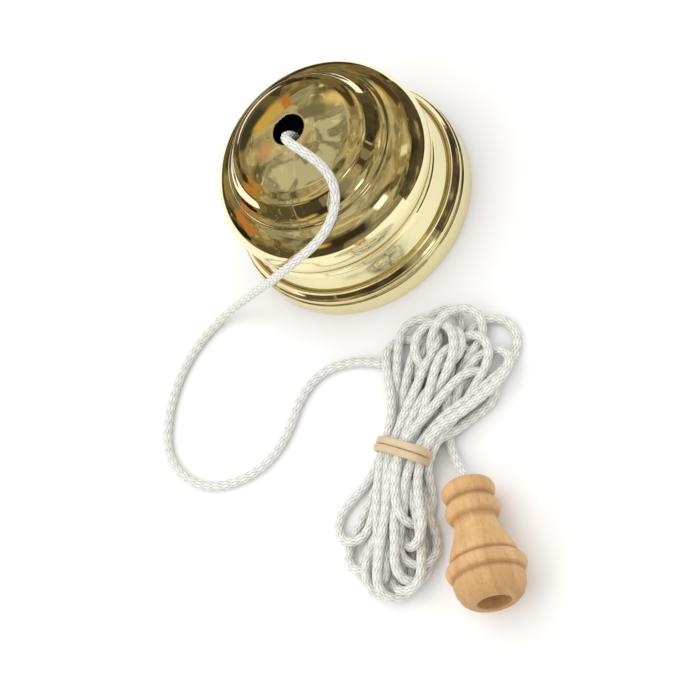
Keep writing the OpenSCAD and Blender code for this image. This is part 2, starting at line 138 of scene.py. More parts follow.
# ---------------------------------------------------------------- cord centreline, in mm
CORD_D = 3.2
FLOOR_Z = 1.75
FREE_RUN = [
    (0, 0, 50.1), (0, 0, 52.6), (-0.3, -1.2, 55.6), (-0.8, -2.7, 58.4), (-0.8, -4.8, 60.8),
    (0.4, -7.5, 61.9), (2.7, -10.6, 61.6), (5.6, -14, 59.9), (8.1, -17.4, 57.6),
    (9.6, -21, 54.9), (9.6, -24.2, 52), (8.2, -27.4, 49.1), (4.5, -31.4, 46),
    (-0.8, -34.7, 43.4), (-6, -36.4, 41.6), (-11.5, -37, 39.4), (-18, -36.5, 35.4),
    (-25.2, -34.2, 28.8), (-32.4, -31.3, 21.6), (-40, -28.6, 14.8), (-48, -26.8, 9),
    (-56, -26.2, 4.6), (-63.6, -27.8, 2.2), (-72, -32.6, 1.7), (-79.5, -39.4, 1.7),
    (-86, -48.6, 1.7), (-90.4, -59, 1.7), (-92.2, -69, 1.7), (-90, -78, 1.7),
    (-83, -86.4, 1.7), (-73, -90.6, 1.7), (-62, -90.6, 1.7), (-52, -87, 1.7),
    (-43.6, -79.4, 1.7), (-36.4, -69, 1.7), (-27.6, -62.8, 1.7), (-16.5, -62.2, 1.7),
    (-5, -66.5, 2.0), (0.5, -70.5, 2.6),
]
PULL_POS = np.array([17.1, -120.6, 8.3])
PULL_TILT = math.radians(8.6)
PULL_TURN = math.radians(2)
PULL_AXIS = np.array([math.cos(PULL_TILT) * math.sin(PULL_TURN), -math.cos(PULL_TILT) * math.cos(PULL_TURN),
                      math.sin(PULL_TILT)])

WAIST = np.array([-1.5, -103, 7.2])
WAIST_AZ = math.radians(53)
WAIST_W = np.array([math.cos(WAIST_AZ), math.sin(WAIST_AZ), 0])
WAIST_V = np.array([math.sin(WAIST_AZ), -math.cos(WAIST_AZ), 0])
# Where the strands cross the waist: across it and up from its middle
SLOTS = [(-7.7, 0.0), (-6.4, -3.2), (-6.2, 3.2), (-5.1, 0.0), (-3.8, -3.2), (-3.7, 3.2), (-2.5, 0.0), (-1.3, -3.2),
         (-1.2, 3.2), (0.0, 0.0), (1.3, -3.2), (1.3, 3.2), (2.6, 0.0), (3.8, -3.2), (3.8, 3.2), (5.1, 0.0),
         (6.3, -3.2), (6.3, 3.2), (7.7, 0.0), (0.1, 5.2)]
# Lower loops: slots in and out, end of the loop in plan, its radius, how far it is rolled over, height of its end
LOWER = [
    (0, 3, (-25.6, -121.0), 7.4, 8, 2.2),
    (2, 1, (-25.0, -131.5), 7.2, 36, 6.0),
    (5, 4, (-22.0, -138.0), 7.2, 50, 7.4),
    (6, 7, (-18.5, -141.5), 7.2, 34, 5.4),
    (8, 10, (-15.0, -143.5), 7.2, 54, 7.8),
    (9, 12, (-11.0, -143.0), 7.2, 40, 5.6),
    (11, 13, (-7.2, -140.5), 7.2, 54, 7.8),
    (14, 16, (-5.4, -135.5), 7.2, 42, 6.0),
    (17, 15, (-4.8, -129.0), 7.2, 54, 7.6),
    (19, 18, (-3.4, -121.5), 7.2, 58, 7.0),
]
# Upper loops between one lower loop and the next
UPPER = [
    ((6.2, -66.5), 7.4, 24, 4.4),
    ((12.5, -62.0), 7.6, 10, 8.0),
    ((18.5, -70.5), 9.2, 8, 9.4, 1),
    ((22.0, -60.5), 7.0, 18, 4.0),
    ((28.5, -65.5), 8.6, 14, 8.4),
    ((24.0, -77.0), 7.2, 46, 6.2),
    ((36.0, -74.0), 10.6, 4, 3.4),
    ((33.5, -83.0), 8.8, 26, 8.8),
    ((27.5, -88.5), 7.6, 34, 5.6),
]


def slot_point(slot, along):
    across, up = SLOTS[slot]
    return WAIST + along * WAIST_W + across * WAIST_V + np.array([0, 0, up])


def loop_points(start, stop, centre, radius, roll, height, turns=0):
    """Out on one side, round the end and back on the other. start and stop are where it leaves and meets the waist.
    turns is how many more times it goes round."""
    centre = np.array([centre[0], centre[1], height])
    out = unit((centre - (start + stop) / 2) * [1, 1, 0])
    side = np.array([-out[1], out[0], 0])
    if (start - stop) @ side < 0:
        side = -side
    lift = math.radians(roll) * (1 if start[2] > stop[2] else -1)
    side = math.cos(lift) * side + np.array([0, 0, math.sin(lift)])
    points = [start + 0.55 * (centre - start) + side * radius * 0.6]
    steps = 4 + 8 * turns
    for k in range(steps + 1):
        a = math.radians(90 - (180 + 360 * turns) * k / steps)
        level = np.array([0, 0, 3.2 * turns * (k / steps - 0.5)])
        points.append(centre + level + radius * (math.cos(a) * out + math.sin(a) * side))
    points.append(stop + 0.55 * (centre - stop) - side * radius * 0.6)
    for p in points:
        p[2] = max(p[2], FLOOR_Z)
    return points


# How far along the cord from the middle of the waist each strand is led
WAIST_REACH = 6.5
# Settling of the strands: distance between points, between strands, and how firmly each rule is applied per round
NODE_STEP = 1.9
STRAND_GAP = 3.1
NEAR_SQUARED = 30
NEIGHBOURS_SKIPPED = 6
SETTLING_ROUNDS = 230
PAIRS_EVERY = 8
PUSH_SHARE = 0.36
PUSH_LIMIT = 0.7
HOME_PULL = 0.012
FALL = 0.03
SMOOTHING = 0.42
BEND_SHARE = 0.22
# Points this many steps apart stay at least this far apart, as on an arc of 6.8 mm
BEND_LIMITS = ((4, 7.2), (7, 11.1))
WAIST_HOLD = 0.9
RING_STEP = 0.65
LAST_SOFTENING = 22


def cord_line():
    """The whole cord's centreline, in mm.

    The strands of the hank are settled so that they lie on each other and on the floor.
    """
    reach = WAIST_REACH
    line = [np.array(p, float) for p in FREE_RUN]
    fixed_until = len(line)
    line += [np.array([5.0, -76.5, 3.2]), np.array([6.0, -86.0, 4.2])]
    for k, (down, up, *shape) in enumerate(LOWER):
        line += [slot_point(down, reach), slot_point(down, 0), slot_point(down, -reach)]
        line += loop_points(slot_point(down, -reach), slot_point(up, -reach), *shape)
        line += [slot_point(up, -reach), slot_point(up, 0), slot_point(up, reach)]
        if k < len(UPPER):
            following = LOWER[k + 1][0]
            line += loop_points(slot_point(up, reach), slot_point(following, reach), *UPPER[k])
    # The last upper loop comes back past the band, not through it
    line += loop_points(slot_point(up, reach), np.array([12.0, -94.5, 6.5]), (30.0, -75.5), 7.4, 20, 6.5)
    line += [np.array(p, float) for p in ((10.9, -101.0, 5.0), (12.2, -107.0, 4.8), (14.6, -113.0, 6.0))]
    tail = [PULL_POS + s * PULL_AXIS for s in (-2, 5, 15, 25, 34.5)]
    line += tail

    n_free = len(resampled(catmull(line[:fixed_until], 0.5), NODE_STEP)) - 2
    whole = catmull(line, NODE_STEP)
    points = whole.copy()
    count = len(points)
    start = whole.copy()
    hold = np.zeros(count)
    hold[:n_free] = 1
    hold[np.linalg.norm(whole - tail[0], axis=1).argmin():] = 1
    near_waist = np.abs((whole - WAIST) @ WAIST_W) < 2.6
    across = np.abs((whole - WAIST) @ WAIST_V) < 9.5
    inside_waist = near_waist & across & (np.arange(count) > n_free)
    hold[inside_waist] = WAIST_HOLD
    move = (1 - hold)[:, None]
    rest = np.linalg.norm(np.diff(points, axis=0), axis=1)
    for rounds in range(SETTLING_ROUNDS):
        if rounds % PAIRS_EVERY == 0:
            delta = points[:, None, :].astype(np.float32) - points[None, :, :].astype(np.float32)
            a, b = np.nonzero(np.triu((delta**2).sum(2) < NEAR_SQUARED, NEIGHBOURS_SKIPPED))
        delta = points[a] - points[b]
        far = np.linalg.norm(delta, axis=1) + 1e-9
        push = (np.maximum(STRAND_GAP - far, 0) / far * PUSH_SHARE)[:, None] * delta
        total = np.stack([np.bincount(a, push[:, k], count) - np.bincount(b, push[:, k], count)
                          for k in range(3)], 1)
        points = points + np.clip(total, -PUSH_LIMIT, PUSH_LIMIT) * move
        points += HOME_PULL * (start - points) * move * [1, 1, 0.3]
        points[:, 2] -= FALL * move[:, 0]
        points[1:-1] += SMOOTHING * ((points[:-2] + points[2:]) / 2 - points[1:-1]) * move[1:-1]
        for gap, least in BEND_LIMITS:
            d = points[gap:] - points[:-gap]
            far = np.linalg.norm(d, axis=1) + 1e-9
            shove = (np.maximum(least - far, 0) / far * BEND_SHARE)[:, None] * d
            points[gap:] += shove * move[gap:]
            points[:-gap] -= shove * move[:-gap]
        for parity in (0, 1):
            i = np.arange(parity, count - 1, 2)
            d = points[i + 1] - points[i]
            length = np.linalg.norm(d, axis=1)[:, None]
            shared = np.maximum(move[i] + move[i + 1], 1e-6)
            fix = 0.5 * (length - rest[i][:, None]) / length * d
            points[i] += fix * move[i] / shared
            points[i + 1] -= fix * move[i + 1] / shared
        points[:, 2] = np.maximum(points[:, 2], FLOOR_Z * (points[:, 2] < 40) * (hold < 1))
    return softened(resampled(points, RING_STEP), LAST_SOFTENING)


# ---------------------------------------------------------------- plaited cord
CARRIERS = 8
PLAIT_STEP = 3.7


def plait_height(x, y):
    """Relief of a plait, whose diamonds lean one way or the other.

    x counts strands round the cord and y steps along it.
    """
    p, q = y + x, y - x
    over = (np.floor(p) + np.floor(q)) % 2 < 1
    fp, fq = p - np.floor(p), q - np.floor(q)
    across, along = np.where(over, fq, fp), np.where(over, fp, fq)
    return np.sin(math.pi * across) ** 0.7 * (0.55 + 0.45 * np.sin(math.pi * along))


def tube(name, line, diameter, sides):
    """Mesh tube along the line, with the plait's relief and its coordinates as a UV map."""
    radius = diameter / 2
    tangent = np.gradient(line, axis=0)
    tangent /= np.linalg.norm(tangent, axis=1)[:, None]
    normal = unit(np.cross(tangent[0], [0, 0.3, 0.9]))
    along = np.concatenate([[0], np.cumsum(np.linalg.norm(np.diff(line, axis=0), axis=1))]) / PLAIT_STEP
    turn = np.arange(sides) / sides
    points = np.empty((len(line), sides, 3))
    for i, t in enumerate(tangent):
        normal = unit(normal - (normal @ t) * t)
        other = np.cross(t, normal)
        height = plait_height(CARRIERS * turn, along[i] + 0 * turn)
        r = radius * (0.95 + 0.07 * height)
        angle = 2 * math.pi * turn
        points[i] = line[i] + (r * np.cos(angle))[:, None] * normal + (r * np.sin(angle))[:, None] * other
    faces, uvs = [], []
    for i in range(len(line) - 1):
        for k in range(sides):
            n = (k + 1) % sides
            faces.append((i * sides + k, i * sides + n, (i + 1) * sides + n, (i + 1) * sides + k))
            u0, u1 = CARRIERS * k / sides, CARRIERS * (k + 1) / sides
            uvs += [(u0, along[i]), (u1, along[i]), (u1, along[i + 1]), (u0, along[i + 1])]
    first = list(range(sides))[::-1]
    last = [(len(line) - 1) * sides + k for k in range(sides)]
    faces += [first, last]
    uvs += [(0, 0)] * (2 * sides)
    return mesh_object(name, points.reshape(-1, 3) * MM, faces, uvs=uvs)


line = cord_line()
cord = tube("plaited_cord", line, CORD_D, 16)
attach(cord, "housing")
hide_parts("cord_run", "cord_hank", "cord_tail")

# ---------------------------------------------------------------- rubber band: two turns round the hank's waist
BAND_W = 2.6
BAND_T = 1.5


def rubber_band():
    half_w, half_h = 8.8 + BAND_T / 2, 5.5 + BAND_T / 2
    steps = 220
    path, outward = [], []
    for i in range(steps):
        a = 4 * math.pi * i / steps
        swing = math.sin(a / 2)
        c, s = math.cos(a - math.pi / 2), math.sin(a - math.pi / 2)
        beside = math.copysign(abs(swing) ** 0.45, swing) * (BAND_W / 2 + 0.05 + 0.008 * (9 + 9 * c))
        u = math.copysign(abs(c) ** 0.8, c) * half_w
        v = math.copysign(abs(s) ** 0.8, s) * half_h
        lean = 0.06 * u
        path.append(WAIST + u * WAIST_V + (beside + lean) * WAIST_W + np.array([0, 0, v]))
        outward.append(unit(c / half_w * WAIST_V + np.array([0, 0, s / half_h])))
    path, outward = np.array(path), np.array(outward)
    tangent = np.roll(path, -1, 0) - np.roll(path, 1, 0)
    section = [(math.copysign(abs(math.cos(t)) ** 0.75, math.cos(t)) * BAND_W / 2,
                math.copysign(abs(math.sin(t)) ** 0.8, math.sin(t)) * BAND_T / 2)
               for t in np.linspace(0, 2 * math.pi, 14, endpoint=False)]
    points, faces = [], []
    m = len(section)
    for i in range(steps):
        t = unit(tangent[i])
        o = unit(outward[i] - (outward[i] @ t) * t)
        w = np.cross(t, o)
        points += [path[i] + x * w + y * o for x, y in section]
        for k in range(m):
            n = (k + 1) % m
            j = (i + 1) % steps
            faces.append((i * m + k, i * m + n, j * m + n, j * m + k))
    return mesh_object("double_rubber_band", np.array(points) * MM, faces)


band = rubber_band()
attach(band, "housing")
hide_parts("rubber_band")

# ---------------------------------------------------------------- turned pull and its knot
pull_outline = (
    [(2.1, 0), (4.6, 0)] + arc((5.6, 3.2), 3.2, -90, 52, 14) + arc((5.6, 10.1), 3.4, -52, 50, 12)
    + [(7.2, 13.6), (7, 15), (7.4, 16.8), (8.3, 19.4), (9.7, 22.4), (10.8, 25.4), (11, 27.2)]
    + arc((10.4, 30.2), 2.5, -75, 75, 14)
    + [(11.4, 33.1), (11.5, 34.6), (11.0, 37.2), (9.8, 39.6), (8, 41.1), (7.2, 41.5),
       (5.5, 41.5), (5.3, 41.2), (5.3, 32), (2.1, 32)]
)
pull_outline = resampled(pull_outline + pull_outline[:1], 0.25)[:-1]
pull = lathe("turned_pull", softened(pull_outline, 2, closed=True), 128)
pull.matrix_world = (Matrix.Translation(Vector(PULL_POS * MM)) @ Matrix.Rotation(PULL_TURN, 4, "Z")
                     @ Matrix.Rotation(math.pi / 2 - PULL_TILT, 4, "X"))
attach(pull, "housing")
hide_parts("wooden_pull")


def overhand_knot():
    """A small trefoil of the same cord, drawn in the pull's axes."""
    t = np.linspace(0, 2 * math.pi, 90)
    x = 0.78 * (np.sin(t) + 1.3 * np.sin(2 * t))
    y = 0.78 * (np.cos(t) - 1.3 * np.cos(2 * t))
    z = -0.85 * np.sin(3 * t)
    side = np.array([1.0, 0, 0])
    other = np.cross(PULL_AXIS, side)
    middle = PULL_POS + 35.9 * PULL_AXIS
    return middle + x[:, None] * side + y[:, None] * other + z[:, None] * PULL_AXIS


knot = tube("tied_knot", overhand_knot(), 2.6, 12)
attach(knot, "housing")
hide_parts("pull_knot")

# ---------------------------------------------------------------- dome and ring
dome_top_arc = arc((0, 8.73), 49.27, 64.77, 83.1, 24)
dome_outer = (
    [(40.8, 6), (40.8, 13), (39.45, 20), (39.2, 22.5)] + arc((25.9, 30), 14, -26, 72, 60)
    + [(30.3, 44.2), (28.6, 44.9), (27.2, 46.6)] + arc((24.1, 49.9), 1.1, 20, 80, 6)
    + [(23.2, 51.5), (22, 52.5)] + dome_top_arc
)
dome_outer = softened(resampled(dome_outer, 0.4), 3)
slope = np.gradient(dome_outer, axis=0)
slope /= np.linalg.norm(slope, axis=1)[:, None]
dome_inner = (dome_outer - 0.9 * np.stack([slope[:, 1], -slope[:, 0]], 1))[::-4]
rim = [dome_outer[-1] + (-0.18, -0.2), dome_inner[0] + (-0.05, 0.25)]
dome = lathe("polished_dome", np.concatenate([dome_outer, rim, dome_inner]), 192)
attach(dome, "housing")
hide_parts("dome_cover")

ring_outer = (
    [(45, 0), (45, 1), (44.7, 6.8)] + arc((43.9, 6.8), 0.8, 0, 90, 8) + arc((42.9, 9.4), 1.3, -50, 70, 14)
    + arc((43.4, 13.1), 1.5, 225, 180, 8) + [(41.6, 13.35), (40.9, 13.1)]
)
ring_outer = softened(resampled(ring_outer, 0.22), 2)
ring_inner = [(40.9, 9.0), (42.3, 7.2), (43.0, 6.3), (44.1, 1.0), (44.1, 0)]
ring = lathe("polished_ring", np.concatenate([ring_outer, ring_inner]), 192)
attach(ring, "housing")
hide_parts("base_ring")


# ---------------------------------------------------------------- materials
def fill_ramp(node, stops):
    """Set a colour ramp's stops from pairs of position and colour."""
    elements = node.color_ramp.elements
    while len(elements) > 1:
        elements.remove(elements[0])
    elements[0].position, elements[0].color = stops[0][0], (*stops[0][1], 1)
    for at, colour in stops[1:]:
        elements.new(at).color = (*colour, 1)


class Nodes:
    """A material's node tree, with short calls for the nodes used here."""

    def __init__(self, name):
        self.material = bpy.data.materials.new(name)
        self.material.use_nodes = True
        self.tree = self.material.node_tree
        self.shader = self.tree.nodes["Principled BSDF"]

    def new(self, kind, **values):
        node = self.tree.nodes.new(kind)
        for key, value in values.items():
            setattr(node, key, value)
        return node

    def link(self, source, target):
        self.tree.links.new(source, target)

    def set(self, **values):
        for key, value in values.items():
            self.shader.inputs[key.replace("_", " ")].default_value = value

    def coords(self, scale=(1, 1, 1)):
        mapping = self.new("ShaderNodeMapping")
        mapping.inputs["Scale"].default_value = scale
        self.link(self.new("ShaderNodeTexCoord").outputs["Object"], mapping.inputs["Vector"])
        return mapping.outputs["Vector"]

    def noise(self, vector, scale, detail=4, rough=0.55, distort=0.0):
        node = self.new("ShaderNodeTexNoise")
        node.inputs["Scale"].default_value = scale
        node.inputs["Detail"].default_value = detail
        node.inputs["Roughness"].default_value = rough
        node.inputs["Distortion"].default_value = distort
        self.link(vector, node.inputs["Vector"])
        return node.outputs["Fac"]

    def ramp(self, value, stops):
        node = self.new("ShaderNodeValToRGB")
        fill_ramp(node, stops)
        self.link(value, node.inputs["Fac"])
        return node.outputs["Color"]

    def math(self, kind, a, b=None, c=None):
        node = self.new("ShaderNodeMath", operation=kind)
        for socket, value in zip(node.inputs, (a, b, c)):
            if value is None:
                continue
            if isinstance(value, (int, float)):
                socket.default_value = value
            else:
                self.link(value, socket)
        return node.outputs[0]

    def spread(self, value, low, high, to_low, to_high):
        node = self.new("ShaderNodeMapRange")
        for socket, number in zip(node.inputs[1:5], (low, high, to_low, to_high)):
            socket.default_value = number
        self.link(value, node.inputs[0])
        return node.outputs[0]

    def bump(self, height, strength, distance):
        node = self.new("ShaderNodeBump")
        node.inputs["Strength"].default_value = strength
        node.inputs["Distance"].default_value = distance
        self.link(height, node.inputs["Height"])
        self.link(node.outputs["Normal"], self.shader.inputs["Normal"])
        return node

    def mix(self, factor, a, b, kind="MIX"):
        node = self.new("ShaderNodeMix", data_type="RGBA", blend_type=kind)
        for socket, value in ((node.inputs[0], factor), (node.inputs[6], a), (node.inputs[7], b)):
            if isinstance(value, (int, float)):
                socket.default_value = value
            elif isinstance(value, tuple):
                socket.default_value = (*value, 1)
            else:
                self.link(value, socket)
        return node.outputs[2]


def brass_material(name, low, high, rough, marks):
    """Brass with faint cloudiness in the lacquer, fine wiping marks and a slow ripple from spinning."""
    n = Nodes(name)
    n.set(Metallic=1.0)
    at = n.coords()
    cloud = n.noise(at, 34, 3)
    n.link(n.ramp(cloud, [(0.35, low), (0.65, high)]), n.shader.inputs["Base Color"])
    wipe = n.noise(n.coords((1, 1, 9)), 420, 2)
    n.link(n.spread(wipe, 0.35, 0.75, rough, rough + marks), n.shader.inputs["Roughness"])
    n.bump(n.noise(at, 62, 2), 0.06, 0.00035)
    return n.material


def moulded_material(name, colour, rough, grain=900):
    n = Nodes(name)
    at = n.coords()
    flow = n.noise(at, 60, 3, distort=0.4)
    dark = tuple(c * 0.82 for c in colour)
    n.link(n.ramp(flow, [(0.35, dark), (0.65, colour)]), n.shader.inputs["Base Color"])
    n.link(n.spread(n.noise(at, 180, 2), 0.3, 0.7, rough, rough + 0.12), n.shader.inputs["Roughness"])
    n.bump(n.noise(at, grain, 2), 0.15, 0.0001)
    return n.material


def metal_material(name, colour, rough, stretch=(1, 1, 14)):
    n = Nodes(name)
    n.set(Metallic=1.0)
    drawn = n.noise(n.coords(stretch), 700, 3)
    dark = tuple(c * 0.78 for c in colour)
    n.link(n.ramp(drawn, [(0.3, dark), (0.7, colour)]), n.shader.inputs["Base Color"])
    n.link(n.spread(drawn, 0.3, 0.7, rough, rough + 0.15), n.shader.inputs["Roughness"])
    n.bump(drawn, 0.12, 0.00008)
    return n.material


def plait_material():
    """Glossy white filament: each diamond of the plait is a bundle of fine threads that lean one way or the other.
    Its colour holds painted shade in the gaps between the diamonds, and diamonds of one lean are painted brighter
    than the other in place of their differing sheen.
    """
    n = Nodes("plaited_nylon")
    uv = n.new("ShaderNodeSeparateXYZ")
    n.link(n.new("ShaderNodeUVMap", uv_map="UVMap").outputs[0], uv.inputs[0])
    x, y = uv.outputs[0], uv.outputs[1]
    p, q = n.math("ADD", y, x), n.math("SUBTRACT", y, x)
    cell = n.math("ADD", n.math("FLOOR", p), n.math("FLOOR", q))
    under = n.math("FLOORED_MODULO", cell, 2.0)
    fp, fq = n.math("FRACT", p), n.math("FRACT", q)

    def choose(a, b):
        return n.math("ADD", n.math("MULTIPLY", a, under), n.math("MULTIPLY", b, n.math("SUBTRACT", 1.0, under)))

    across, along = choose(fp, fq), choose(fq, fp)
    crown = n.math("POWER", n.math("SINE", n.math("MULTIPLY", across, math.pi)), 0.7)
    dip = n.math("MULTIPLY_ADD", n.math("SINE", n.math("MULTIPLY", along, math.pi)), 0.5, 0.5)
    flake = n.math("MULTIPLY", crown, dip)
    threads = n.math("MULTIPLY_ADD", n.math("SINE", n.math("MULTIPLY", across, 2 * math.pi * 5)), 0.5, 0.5)
    height = n.math("MULTIPLY_ADD", threads, 0.10, flake)
    # Painted shade and sheen: the gaps between diamonds are painted darker, and the diamonds of one lean are painted
    # brighter than those of the other
    lean = n.math("MULTIPLY_ADD", under, 0.3, n.math("MULTIPLY", flake, 0.7))
    colour = n.ramp(lean, [(0.05, (0.40, 0.385, 0.31)), (0.35, (0.68, 0.675, 0.60)), (0.75, (0.90, 0.905, 0.88))])
    cloud = n.noise(n.coords(), 90, 2)
    tone = n.mix(n.spread(cloud, 0.3, 0.7, 0.0, 0.3), colour, (0.76, 0.755, 0.69))
    n.link(tone, n.shader.inputs["Base Color"])
    n.link(n.spread(under, 0.0, 1.0, 0.26, 0.42), n.shader.inputs["Roughness"])
    n.set(Sheen_Weight=0.15, Sheen_Roughness=0.4, Subsurface_Weight=0.12, Subsurface_Radius=(0.002, 0.002, 0.002),
          Subsurface_Scale=0.3)
    n.bump(height, 1.0, 0.0003)
    return n.material


def rubber_material():
    n = Nodes("tan_band_rubber")
    at = n.coords()
    n.link(n.ramp(n.noise(at, 130, 3), [(0.3, (0.55, 0.42, 0.25)), (0.7, (0.67, 0.53, 0.34))]),
           n.shader.inputs["Base Color"])
    n.link(n.spread(n.noise(at, 500, 2), 0.3, 0.7, 0.42, 0.6), n.shader.inputs["Roughness"])
    n.set(Subsurface_Weight=0.15, Subsurface_Radius=(0.002, 0.001, 0.0006), Subsurface_Scale=0.3)
    n.bump(n.noise(n.coords((1, 1, 3)), 900, 2), 0.25, 0.00012)
    return n.material


def beech_material():
    """Unvarnished beech: growth layers cut along the turning axis, short dark flecks and a little end-grain depth,
    with painted shade in the grooves between the beads and towards the wide end.
    """
    n = Nodes("turned_beech")
    layers = n.noise(n.coords((1, 0.35, 0.09)), 330, 4, distort=0.35)
    base = n.ramp(layers, [(0.28, (0.53, 0.30, 0.125)), (0.5, (0.65, 0.395, 0.175)), (0.72, (0.73, 0.465, 0.225))])
    fibre = n.noise(n.coords((1, 1, 0.045)), 1500, 3)
    grain = n.mix(n.spread(fibre, 0.35, 0.65, 0.35, 0.0), base, (0.47, 0.25, 0.11))
    fleck = n.noise(n.coords((1, 1, 0.14)), 2300, 1)
    dark = n.mix(n.spread(fleck, 0.66, 0.76, 0.0, 0.55), grain, (0.33, 0.16, 0.065))
    height = n.new("ShaderNodeSeparateXYZ")
    n.link(n.coords(), height.inputs[0])
    # Painted shade: narrow dark bands in the grooves between the beads, and the wide end darker towards its tip
    painted_groove_shade = n.ramp(n.math("MULTIPLY", height.outputs[2], 1 / 0.045), [
        (0.115, (1, 1, 1)), (0.146, (0.50, 0.42, 0.33)), (0.185, (1, 1, 1)),
        (0.265, (1, 1, 1)), (0.295, (0.66, 0.58, 0.48)),
        (0.35, (1, 1, 1)), (0.58, (1, 1, 1)), (0.61, (0.55, 0.47, 0.38)), (0.64, (1, 1, 1)), (0.71, (1, 1, 1)),
        (0.737, (0.58, 0.50, 0.42)), (0.77, (0.91, 0.88, 0.84)), (0.92, (0.80, 0.76, 0.70))])
    grain_with_painted_shade = n.mix(1.0, dark, painted_groove_shade, "MULTIPLY")
    n.link(grain_with_painted_shade, n.shader.inputs["Base Color"])
    n.link(n.spread(fibre, 0.3, 0.7, 0.5, 0.66), n.shader.inputs["Roughness"])
    n.set(Specular_IOR_Level=0.35, Subsurface_Weight=0.06, Subsurface_Radius=(0.002, 0.001, 0.0005),
          Subsurface_Scale=0.3)
    turned = n.new("ShaderNodeTexWave", wave_type="BANDS", bands_direction="Z")
    turned.inputs["Scale"].default_value = 620
    turned.inputs["Distortion"].default_value = 1.5
    n.link(n.coords(), turned.inputs["Vector"])
    n.bump(n.math("MULTIPLY_ADD", turned.outputs["Fac"], 0.25, fibre), 0.22, 0.00012)
    return n.material


def dress(obj, material):
    obj.data.materials.clear()
    obj.data.materials.append(material)


polished = brass_material("mirror_brass", (0.885, 0.785, 0.455), (0.92, 0.83, 0.50), 0.03, 0.03)
dull_brass = brass_material("plain_brass", (0.60, 0.46, 0.22), (0.68, 0.53, 0.27), 0.24, 0.12)
nylon = plait_material()
phenolic = moulded_material("black_phenolic", (0.030, 0.026, 0.022), 0.25)
white_plastic = moulded_material("white_moulding", (0.74, 0.74, 0.70), 0.38)
steel = metal_material("plated_steel_finish", (0.62, 0.63, 0.65), 0.24)
bronze = metal_material("bronze_strip", (0.58, 0.36, 0.19), 0.26, (14, 1, 1))
silver = metal_material("silver_face", (0.80, 0.79, 0.76), 0.18)
inner_nylon = moulded_material("nylon_filament", (0.76, 0.78, 0.74), 0.4, 1600)

for obj in (dome, ring):
    dress(obj, polished)
for obj in (cord, knot):
    dress(obj, nylon)
dress(band, rubber_material())
dress(pull, beech_material())
FINISH = {
    "polished_brass": polished, "polished_brass_ring": polished,
    "screw_brass": dull_brass, "terminal_brass": dull_brass,
    "spring_bronze": bronze, "phenolic": phenolic, "white_nylon": white_plastic, "plated_steel": steel,
    "silver_contact": silver, "nylon_cord": inner_nylon, "tan_rubber": dull_brass, "pale_beech": dull_brass,
}
slots = {row["node"]: row["material_slot"] for row in frame["record"]["subparts"]}
for name, obj in frame["nodes"].items():
    dress(obj, FINISH[slots[name]])

# ---------------------------------------------------------------- floor and light
floor_nodes = Nodes("pale_floor")
floor_tone = floor_nodes.ramp(floor_nodes.noise(floor_nodes.coords(), 3, 2),
                              [(0.3, (0.86, 0.86, 0.855)), (0.7, (0.88, 0.88, 0.875))])
floor_nodes.link(floor_tone, floor_nodes.shader.inputs["Base Color"])
floor_nodes.set(Roughness=0.75)


def floor_piece(name, x, y, z):
    corners = [(x[0], y[0], z), (x[1], y[0], z), (x[1], y[1], z), (x[0], y[1], z)]
    obj = mesh_object(name, corners, [(0, 1, 2, 3)], smooth=False)
    dress(obj, floor_nodes.material)
    return obj


# The brass mirrors only the sheet of paper that the object lies on, and the dark room past its edges
floor_piece("paper", (-0.17, 0.16), (-0.30, 0.12), 0)
floor_piece("floor", (-3, 3), (-3, 3), -0.00005).visible_glossy = False


def dark_card(name, a, b, height):
    """A low dark board beside the paper, seen only as a reflection."""
    obj = mesh_object(name, [(*a, 0.0), (*b, 0.0), (*b, height), (*a, height)], [(0, 1, 2, 3)], smooth=False)
    card = Nodes(name + "_paint")
    tone = card.ramp(card.noise(card.coords(), 30, 3), [
        (0.35, (0.012, 0.009, 0.006)), (0.6, (0.10, 0.075, 0.04)), (0.7, (0.4, 0.33, 0.2))])
    card.link(tone, card.shader.inputs["Base Color"])
    card.set(Roughness=0.8)
    dress(obj, card.material)
    obj.visible_camera = obj.visible_diffuse = obj.visible_shadow = False


dark_card("side_board", (0.088, -0.070), (0.072, 0.10), 0.045)


def area_light(name, place, target, size, power, colour=(1, 1, 1)):
    data = bpy.data.lights.new(name, "AREA")
    data.shape = "RECTANGLE"
    data.size, data.size_y = size
    data.energy = power
    data.color = colour
    obj = bpy.data.objects.new(name, data)
    scene.collection.objects.link(obj)
    obj.location = place
    obj.rotation_euler = (Vector(target) - Vector(place)).to_track_quat("-Z", "Y").to_euler()
    return obj


key = area_light("key", (-0.45, 0.55, 1.15), (0, -0.04, 0), (1.3, 1.3), 5.5)
fill = area_light("fill", (-0.9, -0.5, 0.9), (0, -0.04, 0), (0.8, 0.8), 2.0)
for lamp in (key, fill):
    lamp.visible_glossy = False

world = bpy.data.worlds.new("studio")
scene.world = world
world.use_nodes = True
tree = world.node_tree
tree.nodes.clear()


def world_node(kind, **values):
    node = tree.nodes.new(kind)
    for key_name, value in values.items():
        setattr(node, key_name, value)
    return node


def world_ramp(value, stops):
    node = world_node("ShaderNodeValToRGB")
    fill_ramp(node, stops)
    tree.links.new(value, node.inputs["Fac"])
    return node.outputs["Color"]


def world_mix(factor, a, b):
    node = world_node("ShaderNodeMix", data_type="RGBA")
    for socket, value in ((node.inputs[0], factor), (node.inputs[6], a), (node.inputs[7], b)):
        if isinstance(value, (int, float)):
            socket.default_value = value
        elif isinstance(value, tuple):
            socket.default_value = (*value, 1)
        else:
            tree.links.new(value, socket)
    return node.outputs[2]


def world_math(kind, a, b=0.0, c=0.0, clamp=False):
    node = world_node("ShaderNodeMath", operation=kind, use_clamp=clamp)
    for socket, value in zip(node.inputs, (a, b, c)):
        if isinstance(value, (int, float)):
            socket.default_value = value
        else:
            tree.links.new(value, socket)
    return node.outputs[0]


